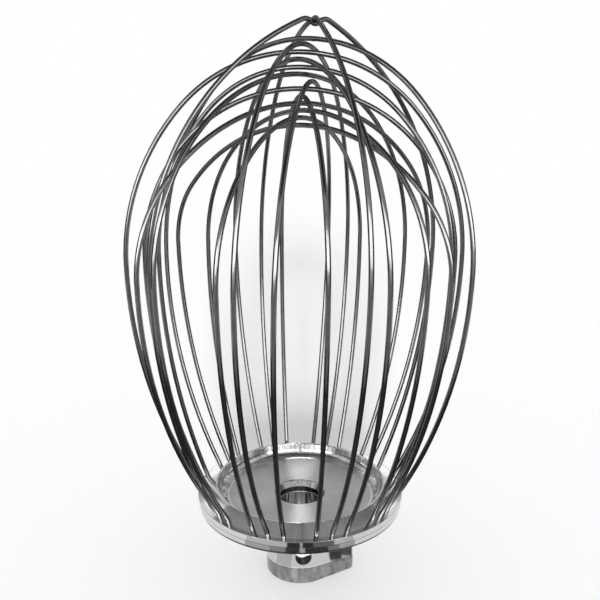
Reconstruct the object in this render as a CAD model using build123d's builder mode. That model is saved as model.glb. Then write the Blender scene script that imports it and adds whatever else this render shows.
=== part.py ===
from build123d import *
import math
import os

os.makedirs("parts", exist_ok=True)

# All sizes are in millimetres. The part stands on the end of its drive boss,
# with the boss end at height zero, the shaft axis along Z and the front at -Y.

# Drive boss with its side lobe
BOSS_LENGTH = 50.4
BOSS_RADIUS = 22.8
BOSS_END_ROUND = 0.8
LOBE_ANGLE = -4.0
LOBE_REACH = 32.5
LOBE_TIP_RADIUS = 4.0
PLATE_ROOT_ROUND = 1.5

# Shaft bore, the relief above it and the entry cone in the recess floor
BORE_RADIUS = 13.8
RELIEF_DEPTH = 0.6
RELIEF_HEIGHT = 3.8
ENTRY_RADIUS = 16.9
ENTRY_DEPTH = 4.0
ENTRY_EDGE_ROUND = 1.0

# Bayonet for the drive pin: a channel in the lobe, a turning groove and a window
PIN_WIDTH = 9.5
PIN_LEVEL = 19.5
CHANNEL_REACH = 29.0
GROOVE_RADIUS = 19.6
WINDOW_ANGLE = -84.0
WINDOW_DIAMETER = 11.0

# Round plate that carries the wires
RIM_RADIUS = 68.5
RIM_BAND = 3.6
RIM_UNDERCUT = 1.2
PLATE_THICKNESS = 9.1
RIM_TOP_ROUND = 0.4
RIM_BOTTOM_ROUND = 1.0
RECESS_RADIUS = 55.6
CONE_RISE = 6.3
RECESS_EDGE_ROUND = 0.9
RECESS_WALL_RUN = 2.6
RECESS_DEPTH = 9.8
RECESS_FLOOR_ROUND = 7.0

# Wire and its sockets
WIRE_RADIUS = 1.5
SOCKET_DEPTH = 6.0
SOCKET_CLEARANCE = 0.1

# Cage: where the wires leave the plate, where they are widest and how they stack
FOOT_RADIUS = 64.0
BELLY_RADIUS = 104.8
BELLY_HEIGHT = 157.2
BELLY_TURN = 42.0
CROWN_HEIGHT = 299.9
INNER_DROP = 9.9
CROWN_PITCH = 4.2
SLOT_ANGLE = 9.0

# The two outermost wires hook through each other at one point of the crown
HOOK_X = 8.9
HOOK_Y = -5.5
HOOK_CLEARANCE = 0.15
HOOK_SLOTS = (2, 13)
APEX_BEND = 4.0
APEX_SLOPES = (24.0, 5.0)
HOOKED_NARROWING = 6.5
PEAK_HALF_SPAN = 6.4
SADDLE_DEPTH = 2.6
SADDLE_RADIUS = 3.6

# The other wires, outermost first: slot on the plate, how much narrower the wire is,
# how far it leans out of its plane at the crown, how far its crown sits off centre
INNER_WIRES = (
    (7, -3.0, 12.5, -5.0),
    (-2, -7.0, 3.0, 1.0),
    (11, -2.0, 2.5, -0.5),
    (3, 1.0, -1.5, -3.5),
    (9, 11.0, 8.0, -2.0),
    (15, -4.0, 2.5, 1.0),
    (-1, -5.5, 7.5, 0.5),
    (10, 7.5, 1.0, -0.5),
    (1, 15.0, 1.0, -0.5),
    (14, -6.0, -1.5, -1.0),
    (5, 9.0, 5.0, -1.0),
    (-3, 8.0, 0.0, 1.0),
    (6, 0.5, -2.5, 4.0),
)

# Heights that follow from the sizes above
RIM_TOP = BOSS_LENGTH + PLATE_THICKNESS
RECESS_TOP = RIM_TOP + CONE_RISE
FLOOR = RECESS_TOP - RECESS_DEPTH
ENTRY_BOTTOM = FLOOR - ENTRY_DEPTH
RELIEF_BOTTOM = ENTRY_BOTTOM - RELIEF_HEIGHT
FOOT_HEIGHT = RIM_TOP + CONE_RISE * (RIM_RADIUS - FOOT_RADIUS) / (RIM_RADIUS - RECESS_RADIUS)


def wire_plane(slot, lean, crown):
    """Upright plane of one wire through the foot level, tilted so the crown leans sideways."""
    turn = math.radians(SLOT_ANGLE * slot)
    tilt = math.atan2(lean, crown - FOOT_HEIGHT)
    across = Vector(math.sin(turn), -math.cos(turn), 0)
    normal = Vector(
        -math.cos(turn) * math.cos(tilt),
        -math.sin(turn) * math.cos(tilt),
        math.sin(tilt),
    )
    return Plane(origin=(0, 0, FOOT_HEIGHT), x_dir=across, z_dir=normal)


def leg_arc(belly_radius):
    """Turn in degrees and radius of the leg arc from the foot up to the belly."""
    rise = RIM_TOP + BELLY_HEIGHT - FOOT_HEIGHT
    turn = 2 * math.atan2(belly_radius - FOOT_RADIUS, rise)
    return math.degrees(turn), rise / math.sin(turn)


def crown_arcs(width, rise, slope=0, bend=0):
    """Radii of the belly arc and the crown arc that together span width and rise.

    The crown arc ends at the given slope, and a tight bend of the given radius turns it level.
    """
    turn = math.radians(BELLY_TURN)
    end = math.radians(90 - slope)
    width = width - bend * math.cos(end)
    rise = rise - bend * (1 - math.sin(end))
    w1 = 1 - math.cos(turn)
    w2 = math.cos(turn) - math.cos(end)
    h1 = math.sin(turn)
    h2 = math.sin(end) - math.sin(turn)
    whole = w1 * h2 - w2 * h1
    return (width * h2 - rise * w2) / whole, (rise * w1 - width * h1) / whole


def wire_arcs(narrowing, shift, crown):
    """Arcs of a plain wire from one foot over the crown to the other, as (radius, turn)."""
    belly = BELLY_RADIUS - narrowing
    leg_turn, leg_radius = leg_arc(belly)
    rise = crown - RIM_TOP - BELLY_HEIGHT
    near = crown_arcs(belly - shift, rise)
    far = crown_arcs(belly + shift, rise)
    return (
        (leg_radius, leg_turn),
        (near[0], BELLY_TURN),
        (near[1], 90 - BELLY_TURN),
        (far[1], 90 - BELLY_TURN),
        (far[0], BELLY_TURN),
        (leg_radius, leg_turn),
    )


def apex_arcs(shift, crown):
    """Arcs of the outermost wire, which comes to a tight bend at its crown."""
    near_slope, far_slope = APEX_SLOPES
    leg_turn, leg_radius = leg_arc(BELLY_RADIUS)
    rise = crown - RIM_TOP - BELLY_HEIGHT
    near = crown_arcs(BELLY_RADIUS - shift, rise, near_slope, APEX_BEND)
    far = crown_arcs(BELLY_RADIUS + shift, rise, far_slope, APEX_BEND)
    return (
        (leg_radius, leg_turn),
        (near[0], BELLY_TURN),
        (near[1], 90 - near_slope - BELLY_TURN),
        (APEX_BEND, near_slope + far_slope),
        (far[1], 90 - far_slope - BELLY_TURN),
        (far[0], BELLY_TURN),
        (leg_radius, leg_turn),
    )


def hooked_arcs(shift, saddle):
    """Arcs of the wire whose crown dips between two small peaks under the outermost wire."""
    belly = BELLY_RADIUS - HOOKED_NARROWING
    leg_turn, leg_radius = leg_arc(belly)
    dip = 2 * math.atan2(SADDLE_DEPTH, PEAK_HALF_SPAN)
    peak = PEAK_HALF_SPAN / math.sin(dip) - SADDLE_RADIUS
    rise = saddle + SADDLE_DEPTH - peak - RIM_TOP - BELLY_HEIGHT
    sides = []
    for offset in (shift, -shift):
        width = belly - PEAK_HALF_SPAN - offset
        shoulder = (width**2 + rise**2 - peak**2) / (2 * (width - peak))
        sides.append((shoulder, math.degrees(math.atan2(rise, shoulder - width))))
    near, far = sides
    return (
        (leg_radius, leg_turn),
        near,
        (peak, 90 - near[1] + math.degrees(dip)),
        (SADDLE_RADIUS, -2 * math.degrees(dip)),
        (peak, 90 - far[1] + math.degrees(dip)),
        far,
        (leg_radius, leg_turn),
    )


def hook_offsets(slot):
    """Lean and crown shift that bring a wire in this slot through the hook point."""
    turn = math.radians(SLOT_ANGLE * slot)
    lean = HOOK_X * math.cos(turn) + HOOK_Y * math.sin(turn)
    shift = HOOK_X * math.sin(turn) - HOOK_Y * math.cos(turn)
    return lean, shift


# One entry per wire: its plane, its arcs
top_height = RIM_TOP + CROWN_HEIGHT
wires = []
lean, shift = hook_offsets(HOOK_SLOTS[0])
wires.append((wire_plane(HOOK_SLOTS[0], lean, top_height), apex_arcs(shift, top_height)))
saddle_height = top_height - 2 * WIRE_RADIUS - HOOK_CLEARANCE
lean, shift = hook_offsets(HOOK_SLOTS[1])
wires.append((wire_plane(HOOK_SLOTS[1], lean, saddle_height), hooked_arcs(shift, saddle_height)))
for place, (slot, narrowing, lean, shift) in enumerate(INNER_WIRES):
    crown_height = top_height - INNER_DROP - CROWN_PITCH * place
    wires.append((wire_plane(slot, lean, crown_height), wire_arcs(narrowing, shift, crown_height)))

# Wires: straight ends in the plate, then tangent arcs from foot to foot
socket_planes = []
for number, (plane, arcs) in enumerate(wires, start=1):
    foot_turn = math.radians(arcs[0][1])
    foot_way = (math.sin(foot_turn), math.cos(foot_turn))
    end_point = (FOOT_RADIUS - SOCKET_DEPTH * foot_way[0], -SOCKET_DEPTH * foot_way[1])
    with BuildPart() as wire:
        with BuildLine(plane) as route:
            run = Line(end_point, (FOOT_RADIUS, 0))
            for radius, turn in arcs:
                run = JernArc(start=run @ 1, tangent=run % 1, radius=radius, arc_size=turn)
            Line(run @ 1, run @ 1 + (run % 1) * SOCKET_DEPTH)
        path = route.wire()
        with BuildSketch(Plane(origin=path @ 0, z_dir=path % 0)):
            Circle(WIRE_RADIUS)
        sweep(path=path)
    socket_planes.append(Plane(origin=path @ 0, z_dir=path % 0))
    socket_planes.append(Plane(origin=path @ 1, z_dir=(path % 1) * -1))
    wire.part.label = f"wire_loop_{number:02d}"
    export_step(wire.part, f"parts/wire_loop_{number:02d}.step")

# Hub: plate, boss and lobe in one piece
lobe_turn = math.radians(LOBE_ANGLE)
window_turn = math.radians(WINDOW_ANGLE)
lobe_way = Vector(math.cos(lobe_turn), math.sin(lobe_turn), 0)
window_way = Vector(math.cos(window_turn), math.sin(window_turn), 0)
window_side = Vector(math.sin(window_turn), -math.cos(window_turn), 0)
with BuildPart() as hub:
    with BuildSketch(Plane(origin=(0, 0, 0), x_dir=lobe_way, z_dir=(0, 0, 1))):
        Circle(BOSS_RADIUS)
        with Locations((LOBE_REACH, 0)):
            Circle(LOBE_TIP_RADIUS)
        make_hull()
    extrude(amount=BOSS_LENGTH)
    fillet(hub.faces().sort_by(Axis.Z)[0].edges(), BOSS_END_ROUND)
    with BuildSketch(Plane.XZ) as plate_profile:
        with BuildLine():
            Polyline(
                (0, BOSS_LENGTH),
                (RIM_RADIUS - RIM_UNDERCUT, BOSS_LENGTH),
                (RIM_RADIUS, RIM_TOP - RIM_BAND),
                (RIM_RADIUS, RIM_TOP),
                (RECESS_RADIUS, RECESS_TOP),
                (RECESS_RADIUS - RECESS_WALL_RUN, FLOOR),
                (0, FLOOR),
                close=True,
            )
        make_face()
        for corner, size in (
            ((RIM_RADIUS - RIM_UNDERCUT, BOSS_LENGTH), RIM_BOTTOM_ROUND),
            ((RIM_RADIUS, RIM_TOP), RIM_TOP_ROUND),
            ((RECESS_RADIUS, RECESS_TOP), RECESS_EDGE_ROUND),
            ((RECESS_RADIUS - RECESS_WALL_RUN, FLOOR), RECESS_FLOOR_ROUND),
        ):
            fillet(plate_profile.vertices().sort_by_distance(corner)[0], size)
    revolve(axis=Axis.Z)
    underside = hub.faces().filter_by(Axis.Z).sort_by(Axis.Z)[1]
    fillet(underside.inner_wires()[0].edges(), PLATE_ROOT_ROUND)

    # Shaft bore with its relief and entry cone
    with BuildSketch(Plane.XZ):
        with BuildLine():
            Polyline(
                (0, 0),
                (BORE_RADIUS, 0),
                (BORE_RADIUS, RELIEF_BOTTOM),
                (BORE_RADIUS + RELIEF_DEPTH, RELIEF_BOTTOM),
                (BORE_RADIUS + RELIEF_DEPTH, ENTRY_BOTTOM),
                (ENTRY_RADIUS, FLOOR),
                (0, FLOOR),
                close=True,
            )
        make_face()
    revolve(axis=Axis.Z, mode=Mode.SUBTRACT)
    entry_edge = hub.edges().sort_by_distance((ENTRY_RADIUS, 0, FLOOR))[0]
    fillet(entry_edge, ENTRY_EDGE_ROUND)

    # Pin channel up the lobe, groove round to the window, window through the wall
    with BuildSketch(Plane(origin=(0, 0, 0), x_dir=lobe_way, z_dir=(0, 0, 1))):
        channel_run = CHANNEL_REACH - PIN_WIDTH / 2
        with Locations((channel_run / 2, 0)):
            SlotCenterToCenter(channel_run, PIN_WIDTH)
    extrude(amount=PIN_LEVEL + PIN_WIDTH / 2, mode=Mode.SUBTRACT)
    with BuildSketch(Plane(origin=(0, 0, PIN_LEVEL), x_dir=window_way, z_dir=window_side)):
        with Locations((GROOVE_RADIUS / 2, 0)):
            Rectangle(GROOVE_RADIUS, PIN_WIDTH)
    revolve(axis=Axis.Z, revolution_arc=LOBE_ANGLE - WINDOW_ANGLE, mode=Mode.SUBTRACT)
    with BuildSketch(Plane(origin=(0, 0, PIN_LEVEL), x_dir=window_side, z_dir=window_way)):
        Circle(WINDOW_DIAMETER / 2)
    extrude(amount=LOBE_REACH, mode=Mode.SUBTRACT)

    # Sockets that the wire ends stand in
    for socket_plane in socket_planes:
        with BuildSketch(socket_plane):
            Circle(WIRE_RADIUS + SOCKET_CLEARANCE)
        extrude(amount=2 * SOCKET_DEPTH, mode=Mode.SUBTRACT)
hub.part.label = "hub"
export_step(hub.part, "parts/hub.step")
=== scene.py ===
import bpy
import math
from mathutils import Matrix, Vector


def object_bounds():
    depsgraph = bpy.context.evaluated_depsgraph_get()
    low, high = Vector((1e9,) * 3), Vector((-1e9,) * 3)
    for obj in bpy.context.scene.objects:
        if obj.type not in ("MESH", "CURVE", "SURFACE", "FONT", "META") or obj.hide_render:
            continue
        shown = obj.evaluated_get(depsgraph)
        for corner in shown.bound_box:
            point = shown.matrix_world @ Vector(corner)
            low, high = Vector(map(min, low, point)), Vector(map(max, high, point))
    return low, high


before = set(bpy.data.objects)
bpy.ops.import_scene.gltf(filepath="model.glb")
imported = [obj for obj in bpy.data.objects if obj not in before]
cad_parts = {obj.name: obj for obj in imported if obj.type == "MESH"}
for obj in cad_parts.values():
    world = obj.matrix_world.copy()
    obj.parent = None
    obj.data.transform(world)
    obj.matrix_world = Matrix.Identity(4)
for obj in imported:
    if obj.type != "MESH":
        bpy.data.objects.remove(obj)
cad_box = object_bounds()
scene = bpy.context.scene
scene.view_settings.view_transform = "Standard"

# Lengths are in metres and angles in degrees, unless a comment says otherwise.

# The camera follows the photograph: 600 by 600 pixels, focal length in pixels, sensor in millimetres
IMAGE_SIZE = 600
FOCAL_PIXELS = 782.4
SENSOR_WIDTH = 36.0
CAMERA_PLACE = (0.0, -0.4808, 0.3174)
CAMERA_PITCH = 14.8

# Zones of the turned hub, as radii and heights, and the width over which one runs into the next
BORE_RADIUS = 0.0138
ENTRY_RADIUS = 0.0172
RELIEF_HEIGHTS = (0.0484, 0.0521)
DISH_EDGE = (0.0478, 0.0484)
DISH_LEVEL = (0.052, 0.053)
WALL_RADIUS = 0.0553
RIM_RADIUS = 0.0662
RIM_SHADE_HEIGHTS = (0.050, 0.0521)
RIM_STEP = (0.0557, 0.0560)
BAYONET_SHADE_RADII = (0.0140, 0.0222)
BAYONET_SHADE_HEIGHT = 0.0255
SATIN_HEIGHT = 0.0097
SATIN_TILT = 0.085
SATIN_GLINT_WIDTH = 0.0005
SATIN_SHADE = 0.001
ZONE_BLUR = 0.0001

# Noise patterns, each as scale, detail and roughness, and the part of their range that is used
STREAKS = (1.0, 4.0, 0.65)
FLECKS = (130.0, 5.0, 0.6)
RINGS = (2600.0, 3.0, 0.7)
CLOUDS = (55.0, 4.0, 0.55)
SMUDGES = (190.0, 5.0, 0.6)
MARKS = (9.0, 3.0, 0.6)
NOISE_RANGE = (0.3, 0.7)
FLECK_RANGE = (0.35, 0.65)

# How the patterns are drawn out: streaks along the wires, rings round the hub, smudges up the boss
STREAK_TURNS = 4.0
STREAK_DRIFT = 12.0
RING_DRIFT = 0.004
SMUDGE_STRETCH = (1.0, 1.0, 0.55)

# Drawn wire: ranges of tone and roughness, bump as strength and distance, tint at grazing angles
WIRE_TONES = (0.16, 0.21)
STREAK_TONES = (0.0, 0.06)
WIRE_ROUGHNESS = (0.1, 0.18)
WIRE_BUMP = (0.02, 0.0002)
WIRE_EDGE_TINT = 0.4

# The wire is duller and darker over the crown, which begins at the first height and is full at the second
CROWN_HEIGHTS = (0.24, 0.31)
CROWN_ROUGHNESS = 0.07
CROWN_DARKER = 0.045

# Turned steel outside the zones, and what holds for all of it
POLISHED_TONES = (0.6, 0.68)
POLISHED_ROUGHNESS = (0.08, 0.14)
TURNED_BUMP = (0.05, 0.0001)
ANISOTROPY = 0.88
ANISOTROPY_TURN = 0.25

# Both steels have a trace more blue than red and green
BLUE_TRACE = 1.01

# Floor and sky
FLOOR_RADIUS = 5.0
FLOOR_SIDES = 96
FLOOR_DROP = 0.0003
FLOOR_FADE = (1.2, 2.6)
FLOOR_TONE = 0.97
FLOOR_ROUGHNESS = 0.9
FLOOR_SHINE = 0.1
SKY_LIGHT = 0.62

# Lamps: two window panes in front, a strip above the back, a low sun for the floor's shadow.
# Sizes are width and height, energy is in watts, and the sun's is its strength.
PANES = (("pane_left", -0.675), ("pane_right", 0.675))
PANE_FRONT = -1.15
PANE_HEIGHT = 0.48
PANE_SIZE = (1.25, 0.52)
PANE_ENERGY = 8.8
STRIP_PLACE = (0.0, 0.75, 1.2)
STRIP_TARGET = (0.0, 0.0, 0.18)
STRIP_SIZE = (0.14, 0.5)
STRIP_ENERGY = 0.9
SUN_ELEVATION = 15.0
SUN_SOFTNESS = 9.0
SUN_STRENGTH = 4.9

# Cards in front and behind: name, span in x, place in y, span in z, brightness
UPRIGHT_CARDS = (
    ("front_card", (-1.5, 1.5), -1.35, (0.15, 1.45), 0.75),
    ("back_card", (-0.8, 0.8), 0.95, (0.2, 1.3), 0.58),
)

# Cards at the sides, a dark one below a light one: name, place in x, span in y, span in z, brightness
SIDE_DEPTH = (-0.75, 0.75)
SIDE_CARDS = (
    ("left_card", -0.95, SIDE_DEPTH, (0.0, 0.4), 0.12),
    ("right_card", 0.95, SIDE_DEPTH, (0.0, 0.4), 0.12),
    ("left_high_card", -0.95, SIDE_DEPTH, (0.4, 1.0), 0.75),
    ("right_high_card", 0.95, SIDE_DEPTH, (0.4, 1.0), 0.75),
)

# Level cards, the ceiling and those just above the plate's edge, where the wires see them:
# name, span in x, span in y, height, brightness
CEILING = 1.7
WIRE_LEVEL = 0.062
LEVEL_CARDS = (
    ("ceiling_card", (-1.5, 1.5), (-0.2, 1.3), CEILING, 0.26),
    ("ceiling_dark_card", (-1.5, 1.5), (-1.35, -0.2), CEILING, 0.08),
    ("wire_dark_front", (-0.072, 0.072), (-0.24, -0.072), WIRE_LEVEL, 0.1),
    ("wire_dark_left", (-0.3, -0.072), (-0.24, 0.05), WIRE_LEVEL, 0.06),
    ("wire_dark_right", (0.072, 0.3), (-0.24, 0.05), WIRE_LEVEL, 0.06),
    ("wire_grey_card", (-0.9, 0.9), (-1.3, -0.24), WIRE_LEVEL, 0.45),
)

# Parts of rings that lie near the floor and show in the rim, its lower step, the boss and its lobe:
# name, inner and outer radius, span of angle from the front towards +X, height, brightness
LOW = 0.001
OVER_LOW = 0.002
RIM_RING = (0.11, 0.3)
STEP_RING = (0.078, 0.108)
RING_CARDS = (
    ("rim_card", (0.12, 0.45), (-47.0, 47.0), LOW, 0.62),
    ("rim_dark_left", RIM_RING, (-10.9, 0.2), OVER_LOW, 0.03),
    ("rim_dark_right", RIM_RING, (1.8, 10.9), OVER_LOW, 0.03),
    ("rim_shade_right", RIM_RING, (10.9, 29.0), OVER_LOW, 0.15),
    ("step_card", STEP_RING, (-48.0, 48.0), LOW, 0.45),
    ("step_shade_left", STEP_RING, (-25.0, -11.9), OVER_LOW, 0.25),
    ("step_dark_left", STEP_RING, (-11.9, -0.3), OVER_LOW, 0.02),
    ("step_dark_right", STEP_RING, (4.1, 23.0), OVER_LOW, 0.02),
    ("step_shade_right", STEP_RING, (23.0, 33.0), OVER_LOW, 0.2),
    ("boss_card", (0.03, 0.075), (-66.0, -22.0), LOW, 0.6),
    ("lobe_card", (0.041, 0.066), (59.0, 70.0), LOW, 0.05),
    ("lobe_tip_card", (0.0475, 0.066), (70.0, 90.0), LOW, 0.08),
)
RING_PIECES = 12


def new_material(name):
    """An empty node material with a Principled shader on its output."""
    mat = bpy.data.materials.new(name)
    mat.use_nodes = True
    nt = mat.node_tree
    nt.nodes.clear()
    out = nt.nodes.new("ShaderNodeOutputMaterial")
    bsdf = nt.nodes.new("ShaderNodeBsdfPrincipled")
    nt.links.new(bsdf.outputs["BSDF"], out.inputs["Surface"])
    return mat, nt, bsdf, out


def feed(nt, socket, value):
    """Gives a socket a number, or links it to another socket."""
    if isinstance(value, (int, float)):
        socket.default_value = value
    else:
        nt.links.new(value, socket)


def math_node(nt, operation, *values):
    n = nt.nodes.new("ShaderNodeMath")
    n.operation = operation
    for socket, value in zip(n.inputs, values):
        feed(nt, socket, value)
    return n.outputs[0]


def both(nt, a, b):
    """Where both of two zones hold."""
    return math_node(nt, "MULTIPLY", a, b)


def step(nt, value, low, high):
    """0 below low, 1 above high, smooth between."""
    n = nt.nodes.new("ShaderNodeMapRange")
    n.interpolation_type = "SMOOTHSTEP"
    n.inputs["From Min"].default_value = low
    n.inputs["From Max"].default_value = high
    nt.links.new(value, n.inputs["Value"])
    return n.outputs["Result"]


def above(nt, value, limit):
    """0 up to the limit, 1 above it."""
    return step(nt, value, limit, limit + ZONE_BLUR)


def below(nt, value, limit):
    """1 up to the limit, 0 above it."""
    return math_node(nt, "SUBTRACT", 1.0, above(nt, value, limit))


def reaching(nt, value, limit):
    """0 below the limit, 1 from the limit on."""
    return step(nt, value, limit - ZONE_BLUR, limit)


def between(nt, value, low, high):
    """1 from low to high, 0 outside."""
    return both(nt, reaching(nt, value, low), below(nt, value, high))


def mix(nt, factor, a, b):
    """Number a where factor is 0 and b where it is 1."""
    n = nt.nodes.new("ShaderNodeMix")
    n.data_type = "FLOAT"
    nt.links.new(factor, n.inputs[0])
    feed(nt, n.inputs[2], a)
    feed(nt, n.inputs[3], b)
    return n.outputs[0]


def noise(nt, vector, scale, detail, roughness):
    n = nt.nodes.new("ShaderNodeTexNoise")
    n.inputs["Scale"].default_value = scale
    n.inputs["Detail"].default_value = detail
    n.inputs["Roughness"].default_value = roughness
    nt.links.new(vector, n.inputs["Vector"])
    return n.outputs["Fac"]


def spread(nt, value, target, source=NOISE_RANGE):
    """Maps a noise value from the source range to the target range, clamped."""
    n = nt.nodes.new("ShaderNodeMapRange")
    names = ("From Min", "From Max", "To Min", "To Max")
    for name, number in zip(names, source + target):
        n.inputs[name].default_value = number
    nt.links.new(value, n.inputs["Value"])
    return n.outputs["Result"]


def grey(nt, level):
    """A colour with red and green at level and a trace more blue."""
    n = nt.nodes.new("ShaderNodeCombineColor")
    nt.links.new(level, n.inputs["Red"])
    nt.links.new(level, n.inputs["Green"])
    nt.links.new(math_node(nt, "MULTIPLY", level, BLUE_TRACE), n.inputs["Blue"])
    return n.outputs["Color"]


def combine(nt, x, y, z):
    n = nt.nodes.new("ShaderNodeCombineXYZ")
    for socket, value in zip(n.inputs, (x, y, z)):
        nt.links.new(value, socket)
    return n.outputs[0]


def object_point(nt):
    return nt.nodes.new("ShaderNodeTexCoord").outputs["Object"]


def split_point(nt):
    """The object point as x, y and z."""
    n = nt.nodes.new("ShaderNodeSeparateXYZ")
    nt.links.new(object_point(nt), n.inputs[0])
    return n.outputs


def axis_distance(nt, x, y):
    """The distance of a point from the shaft axis."""
    xx = math_node(nt, "MULTIPLY", x, x)
    yy = math_node(nt, "MULTIPLY", y, y)
    return math_node(nt, "SQRT", math_node(nt, "ADD", xx, yy))


def bump(nt, bsdf, height, strength, distance):
    n = nt.nodes.new("ShaderNodeBump")
    n.inputs["Strength"].default_value = strength
    n.inputs["Distance"].default_value = distance
    nt.links.new(height, n.inputs["Height"])
    nt.links.new(n.outputs["Normal"], bsdf.inputs["Normal"])


def lengthwise(nt):
    """A texture point that changes quickly round a wire and slowly along it, for noise in streaks."""
    round_wire = nt.nodes.new("ShaderNodeVectorMath")
    round_wire.operation = "SCALE"
    nt.links.new(nt.nodes.new("ShaderNodeTexCoord").outputs["Normal"], round_wire.inputs[0])
    round_wire.inputs["Scale"].default_value = STREAK_TURNS
    along_wire = nt.nodes.new("ShaderNodeVectorMath")
    along_wire.operation = "MULTIPLY_ADD"
    nt.links.new(object_point(nt), along_wire.inputs[0])
    along_wire.inputs[1].default_value = (STREAK_DRIFT, STREAK_DRIFT, STREAK_DRIFT)
    nt.links.new(round_wire.outputs["Vector"], along_wire.inputs[2])
    return along_wire.outputs["Vector"]


def stretched(nt, scale):
    """The object point, drawn out along the axes whose scale is below 1."""
    n = nt.nodes.new("ShaderNodeMapping")
    n.inputs["Scale"].default_value = scale
    nt.links.new(object_point(nt), n.inputs["Vector"])
    return n.outputs["Vector"]


def wire_steel():
    """Drawn steel wire: dark and bright, with fine streaks along it, small flecks and a duller crown."""
    mat, nt, bsdf, _ = new_material("wire_steel")
    streaks = noise(nt, lengthwise(nt), *STREAKS)
    flecks = noise(nt, object_point(nt), *FLECKS)
    crown = step(nt, split_point(nt)[2], *CROWN_HEIGHTS)
    flecked = spread(nt, flecks, WIRE_TONES, FLECK_RANGE)
    streaked = math_node(nt, "ADD", flecked, spread(nt, streaks, STREAK_TONES))
    tone = math_node(nt, "MULTIPLY_ADD", crown, -CROWN_DARKER, streaked)
    drawn = spread(nt, streaks, WIRE_ROUGHNESS)
    dull = math_node(nt, "MULTIPLY_ADD", crown, CROWN_ROUGHNESS, drawn)
    nt.links.new(grey(nt, tone), bsdf.inputs["Base Color"])
    nt.links.new(dull, bsdf.inputs["Roughness"])
    bump(nt, bsdf, flecks, *WIRE_BUMP)
    bsdf.inputs["Metallic"].default_value = 1.0
    bsdf.inputs["Specular Tint"].default_value = (WIRE_EDGE_TINT, WIRE_EDGE_TINT, WIRE_EDGE_TINT, 1.0)
    return mat


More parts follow.
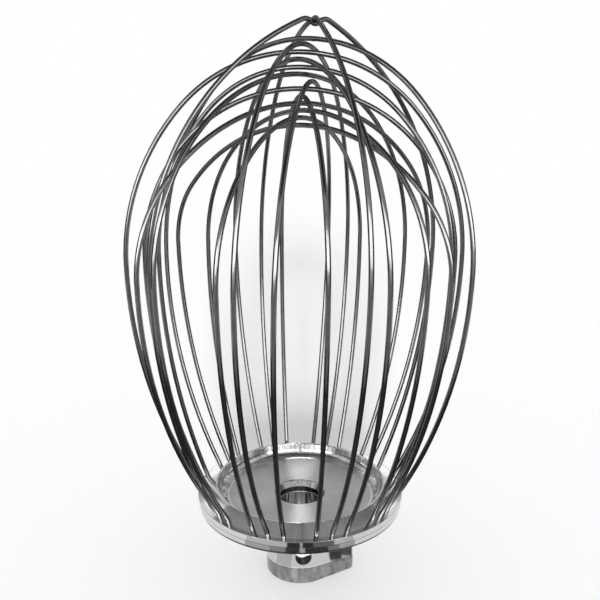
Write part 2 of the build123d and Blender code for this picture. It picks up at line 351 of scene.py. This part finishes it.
def turned_steel():
    """Turned steel: fine rings all over, polished outside, dull in the dish, satin at the boss end."""
    mat, nt, bsdf, _ = new_material("turned_steel")
    x, y, height = split_point(nt)
    radius = axis_distance(nt, x, y)
    slow_angle = math_node(nt, "MULTIPLY", math_node(nt, "ARCTAN2", y, x), RING_DRIFT)
    rings = noise(nt, combine(nt, slow_angle, radius, height), *RINGS)
    clouds = noise(nt, object_point(nt), *CLOUDS)
    smudges = noise(nt, stretched(nt, SMUDGE_STRETCH), *SMUDGES)
    way_x = math_node(nt, "DIVIDE", x, radius)
    way_y = math_node(nt, "DIVIDE", y, radius)
    marks = noise(nt, combine(nt, way_x, way_y, height), *MARKS)

    # The middle: the bore and its entry, with the relief groove between them painted dark as shade
    entry = below(nt, radius, ENTRY_RADIUS)
    bore = both(nt, entry, below(nt, height, RELIEF_HEIGHTS[0]))
    relief_shade = both(nt, entry, between(nt, height, *RELIEF_HEIGHTS))

    # The plate: the dish and a painted highlight line at its edge, the wall and the cone round it, the
    # cone painted lighter than the other polished steel, and painted shade lines at the rim's lower edge
    # and at the step between its two bands
    dish = step(nt, height, *DISH_LEVEL)
    dish_floor = both(nt, between(nt, radius, ENTRY_RADIUS, DISH_EDGE[0]), dish)
    # Painted highlight: a lighter line along the rounded edge of the dish
    dish_edge_highlight = both(nt, between(nt, radius, *DISH_EDGE), dish)
    round_dish = both(nt, above(nt, radius, DISH_EDGE[1]), above(nt, height, RIM_STEP[1]))
    # The cone is painted lighter than the other polished steel, a painted sheen that stands in for the
    # light it reflects
    cone = both(nt, round_dish, below(nt, radius, RIM_RADIUS))
    wall = both(nt, cone, below(nt, radius, WALL_RADIUS))
    rim = reaching(nt, radius, RIM_RADIUS)
    # Painted shade: a dark line along the rim's lower edge
    rim_edge_shade = both(nt, rim, between(nt, height, *RIM_SHADE_HEIGHTS))
    # Painted shade: a dark line at the step between the rim's two bands
    rim_step_shade = both(nt, rim, between(nt, height, *RIM_STEP))

    # The boss: its bayonet inside painted dark as shade, the satin band outside with a slightly tilted
    # upper edge, a painted glint line along that edge and painted shade just below it
    bayonet_shade = both(nt, between(nt, radius, *BAYONET_SHADE_RADII), below(nt, height, BAYONET_SHADE_HEIGHT))
    outside = reaching(nt, radius, ENTRY_RADIUS)
    tilted = math_node(nt, "MULTIPLY_ADD", y, SATIN_TILT, height)
    satin = both(nt, outside, below(nt, tilted, SATIN_HEIGHT))
    # Painted highlight: a bright glint line along the satin band's upper edge
    satin_glint = both(nt, outside, between(nt, tilted, SATIN_HEIGHT, SATIN_HEIGHT + SATIN_GLINT_WIDTH))
    satin_shade = both(nt, outside, between(nt, tilted, SATIN_HEIGHT - SATIN_SHADE, SATIN_HEIGHT))

    # Each zone: where it is, the noise of its tone, its range of tone and its range of roughness
    zones = (
        # Painted sheen: the cone's tone is lighter than the rest of the turned steel
        (cone, clouds, (0.86, 0.95), (0.08, 0.14)),
        (wall, marks, (0.4, 0.8), (0.1, 0.18)),
        (dish_floor, clouds, (0.62, 0.73), (0.26, 0.36)),
        (dish_edge_highlight, clouds, (0.8, 0.88), (0.16, 0.24)),
        (entry, marks, (0.3, 0.66), (0.08, 0.16)),
        (bore, marks, (0.4, 0.8), (0.08, 0.16)),
        # Painted shade: the relief groove is darkened
        (relief_shade, clouds, (0.14, 0.22), (0.08, 0.16)),
        (satin, smudges, (0.2, 0.58), (0.34, 0.44)),
        (satin_shade, smudges, (0.16, 0.5), (0.34, 0.44)),
        # Painted glint along the satin band's upper edge
        (satin_glint, smudges, (0.7, 1.0), (0.1, 0.2)),
        # Painted shade: the bayonet inside the boss is darkened
        (bayonet_shade, clouds, (0.1, 0.16), (0.3, 0.42)),
        # Painted shade along the rim's lower edge
        (rim_edge_shade, clouds, (0.1, 0.14), (0.2, 0.3)),
        # Painted shade at the step between the rim's bands
        (rim_step_shade, clouds, (0.2, 0.26), (0.2, 0.3)),
    )
    tone = spread(nt, clouds, POLISHED_TONES)
    dull = spread(nt, rings, POLISHED_ROUGHNESS)
    for place, pattern, tones, dulls in zones:
        tone = mix(nt, place, tone, spread(nt, pattern, tones))
        dull = mix(nt, place, dull, spread(nt, rings, dulls))
    nt.links.new(grey(nt, tone), bsdf.inputs["Base Color"])
    nt.links.new(dull, bsdf.inputs["Roughness"])
    bump(nt, bsdf, rings, *TURNED_BUMP)

    along = nt.nodes.new("ShaderNodeTangent")
    along.direction_type = "RADIAL"
    along.axis = "Z"
    nt.links.new(along.outputs["Tangent"], bsdf.inputs["Tangent"])
    bsdf.inputs["Anisotropic"].default_value = ANISOTROPY
    bsdf.inputs["Anisotropic Rotation"].default_value = ANISOTROPY_TURN
    bsdf.inputs["Metallic"].default_value = 1.0
    return mat


def white_background(nt):
    """1 for camera, glossy and transmission rays, which see the plain white background."""
    n = nt.nodes.new("ShaderNodeLightPath")
    seen = math_node(nt, "MAXIMUM", n.outputs["Is Camera Ray"], n.outputs["Is Glossy Ray"])
    return math_node(nt, "MAXIMUM", seen, n.outputs["Is Transmission Ray"])


def add_object(name, data):
    obj = bpy.data.objects.new(name, data)
    scene.collection.objects.link(obj)
    return obj


def add_mesh(name, points, mat):
    """One flat face of the studio, which is not part of the object."""
    mesh = bpy.data.meshes.new(name)
    mesh.from_pydata(points, [], [tuple(range(len(points)))])
    mesh.materials.append(mat)
    obj = add_object(name, mesh)
    return obj


def add_floor():
    """Pale floor that takes the shadow. It is plain white further out, and inside the bore, where the
    shadow falls, it glows white as painted light.
    """
    mat, nt, bsdf, out = new_material("pale_floor")
    bsdf.inputs["Base Color"].default_value = (FLOOR_TONE, FLOOR_TONE, FLOOR_TONE, 1.0)
    bsdf.inputs["Roughness"].default_value = FLOOR_ROUGHNESS
    bsdf.inputs["Specular IOR Level"].default_value = FLOOR_SHINE
    x, y, _ = split_point(nt)
    radius = axis_distance(nt, x, y)
    far = step(nt, radius, *FLOOR_FADE)
    # Painted light: the floor inside the bore glows white for camera and glossy rays, though it lies in
    # shade
    bore_floor_painted_light = below(nt, radius, BORE_RADIUS)
    white = nt.nodes.new("ShaderNodeEmission")
    nt.links.new(white_background(nt), white.inputs["Strength"])
    blend = nt.nodes.new("ShaderNodeMixShader")
    nt.links.new(math_node(nt, "MAXIMUM", far, bore_floor_painted_light), blend.inputs[0])
    nt.links.new(bsdf.outputs["BSDF"], blend.inputs[1])
    nt.links.new(white.outputs["Emission"], blend.inputs[2])
    nt.links.new(blend.outputs["Shader"], out.inputs["Surface"])
    turns = [2 * math.pi * i / FLOOR_SIDES for i in range(FLOOR_SIDES)]
    level = cad_box[0].z - FLOOR_DROP
    points = [(FLOOR_RADIUS * math.cos(t), FLOOR_RADIUS * math.sin(t), level) for t in turns]
    add_mesh("floor", points, mat)


def add_world():
    """A white sky that lights the floor less than it shows."""
    world = bpy.data.worlds.new("studio")
    scene.world = world
    world.use_nodes = True
    nt = world.node_tree
    nt.nodes.clear()
    out = nt.nodes.new("ShaderNodeOutputWorld")
    sky = nt.nodes.new("ShaderNodeBackground")
    sky.inputs["Color"].default_value = (1.0, 1.0, 1.0, 1.0)
    nt.links.new(mix(nt, white_background(nt), SKY_LIGHT, 1.0), sky.inputs["Strength"])
    nt.links.new(sky.outputs["Background"], out.inputs["Surface"])


def add_camera():
    data = bpy.data.cameras.new("camera")
    data.sensor_width = SENSOR_WIDTH
    data.lens = FOCAL_PIXELS * SENSOR_WIDTH / IMAGE_SIZE
    obj = add_object("camera", data)
    obj.location = CAMERA_PLACE
    obj.rotation_euler = (math.radians(90 - CAMERA_PITCH), 0.0, 0.0)
    scene.camera = obj


def add_window(name, place, target, size, energy):
    """A soft rectangular lamp that lights the metal alone."""
    data = bpy.data.lights.new(name, "AREA")
    data.shape = "RECTANGLE"
    data.size, data.size_y = size
    data.energy = energy
    obj = add_object(name, data)
    obj.location = place
    obj.rotation_euler = (Vector(target) - Vector(place)).to_track_quat("-Z", "Y").to_euler()
    obj.visible_camera = False
    obj.visible_diffuse = False


def add_sun():
    """A soft lamp far in front, low enough that the shadow falls back inside the cage's outline."""
    data = bpy.data.lights.new("front_sun", "SUN")
    data.energy = SUN_STRENGTH
    data.angle = math.radians(SUN_SOFTNESS)
    obj = add_object("front_sun", data)
    obj.rotation_euler = (math.radians(90 - SUN_ELEVATION), 0.0, 0.0)
    obj.visible_glossy = False


def upright(xs, y, zs):
    """Corners of a card that faces the object from the front or the back."""
    return [(xs[0], y, zs[0]), (xs[1], y, zs[0]), (xs[1], y, zs[1]), (xs[0], y, zs[1])]


def sideways(x, ys, zs):
    """Corners of a card that faces the object from one side."""
    return [(x, ys[0], zs[0]), (x, ys[1], zs[0]), (x, ys[1], zs[1]), (x, ys[0], zs[1])]


def lying(xs, ys, z):
    """Corners of a level card."""
    return [(xs[0], ys[0], z), (xs[1], ys[0], z), (xs[1], ys[1], z), (xs[0], ys[1], z)]


def ring_part(radii, angles, z):
    """Corners of a level card that is part of a ring round the shaft."""
    start, end = angles
    turns = [math.radians(start + (end - start) * i / RING_PIECES) for i in range(RING_PIECES + 1)]
    near, far = [[(r * math.sin(t), -r * math.cos(t), z) for t in turns] for r in radii]
    return near + far[::-1]


def add_card(name, corners, brightness):
    """A plain studio card of one brightness, seen only in the metal."""
    mat = bpy.data.materials.new(name)
    mat.use_nodes = True
    nt = mat.node_tree
    nt.nodes.clear()
    out = nt.nodes.new("ShaderNodeOutputMaterial")
    glow = nt.nodes.new("ShaderNodeEmission")
    glow.inputs["Strength"].default_value = brightness
    nt.links.new(glow.outputs["Emission"], out.inputs["Surface"])
    obj = add_mesh(name, corners, mat)
    obj.visible_camera = False
    obj.visible_diffuse = False
    obj.visible_shadow = False
    obj.visible_transmission = False


hub_material = turned_steel()
wire_material = wire_steel()
for name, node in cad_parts.items():
    node.data.materials.clear()
    node.data.materials.append(hub_material if name == "hub" else wire_material)

add_floor()
add_world()
add_camera()

for name, x in PANES:
    add_window(name, (x, PANE_FRONT, PANE_HEIGHT), (x, 0.0, PANE_HEIGHT), PANE_SIZE, PANE_ENERGY)
add_window("back_strip", STRIP_PLACE, STRIP_TARGET, STRIP_SIZE, STRIP_ENERGY)
add_sun()

groups = ((UPRIGHT_CARDS, upright), (SIDE_CARDS, sideways), (LEVEL_CARDS, lying), (RING_CARDS, ring_part))
for cards, shape in groups:
    for name, first, second, third, brightness in cards:
        add_card(name, shape(first, second, third), brightness)
